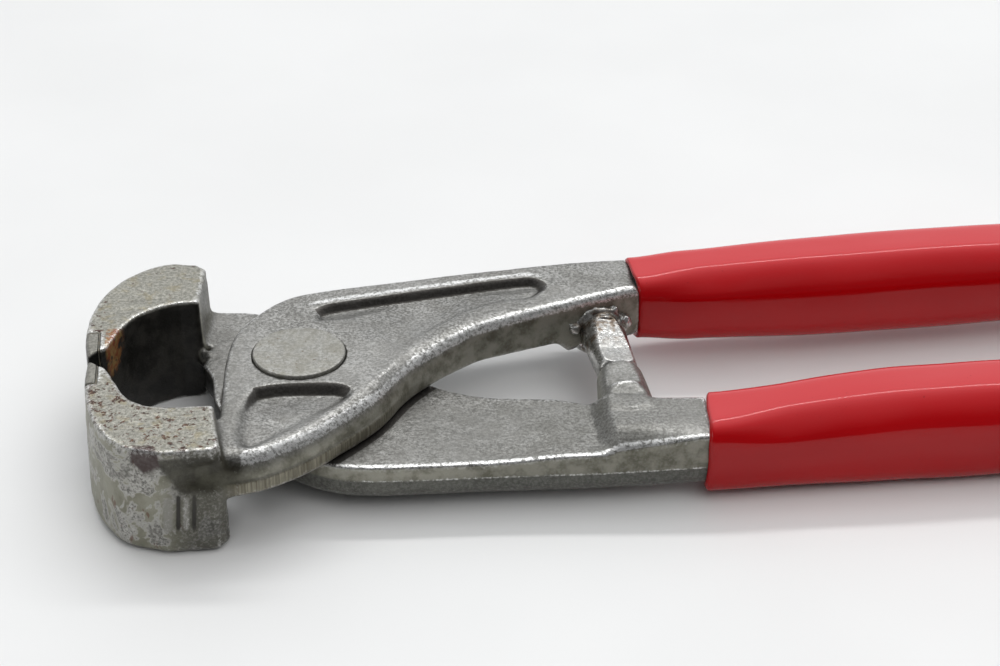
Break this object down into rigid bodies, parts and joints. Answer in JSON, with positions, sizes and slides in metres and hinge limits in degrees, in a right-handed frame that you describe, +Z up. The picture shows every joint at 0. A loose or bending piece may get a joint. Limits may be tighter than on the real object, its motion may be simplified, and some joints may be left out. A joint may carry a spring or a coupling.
{
  "type": "hoof nipper",
  "caption": "Two-handed pivoting nipper with a wide C-shaped head, brazed cutting tips, a lap joint on one flush rivet, stops between the shanks and red dipped grips.",
  "frame": {"origin": "on the surface the tool lies on, under the middle of the whole tool", "axes": "+X from the head towards the handle ends, +Y towards the lower half's jaw, +Z up along the rivet"},
  "size_m": [0.2034, 0.0534, 0.0165],
  "materials": {
    "forged_steel": "as forged, bright on worn rims",
    "rivet_steel": "ground flush, dull",
    "tip_carbide": "dark ground carbide",
    "braze": "tarnished filler metal",
    "grip_vinyl": "glossy dipped vinyl",
    "stop_steel": "ground and welded"
  },
  "bodies": {
    "lower": {"lower_half": "forged_steel", "pivot_rivet": "rivet_steel", "lower_tip": "tip_carbide", "lower_braze": "braze", "lower_grip": "grip_vinyl"},
    "upper": {"upper_half": "forged_steel", "upper_tip": "tip_carbide", "upper_braze": "braze", "upper_grip": "grip_vinyl", "upper_stop": "stop_steel", "stop_weld": "stop_steel"}
  },
  "joints": [
    {"name": "nipper_hinge", "type": "hinge", "parent": "lower", "child": "upper", "pos_m": [-0.0711, 0.00055, 0.00825], "axis": [0, 0, 1], "range_deg": [0, 36]}
  ]
}
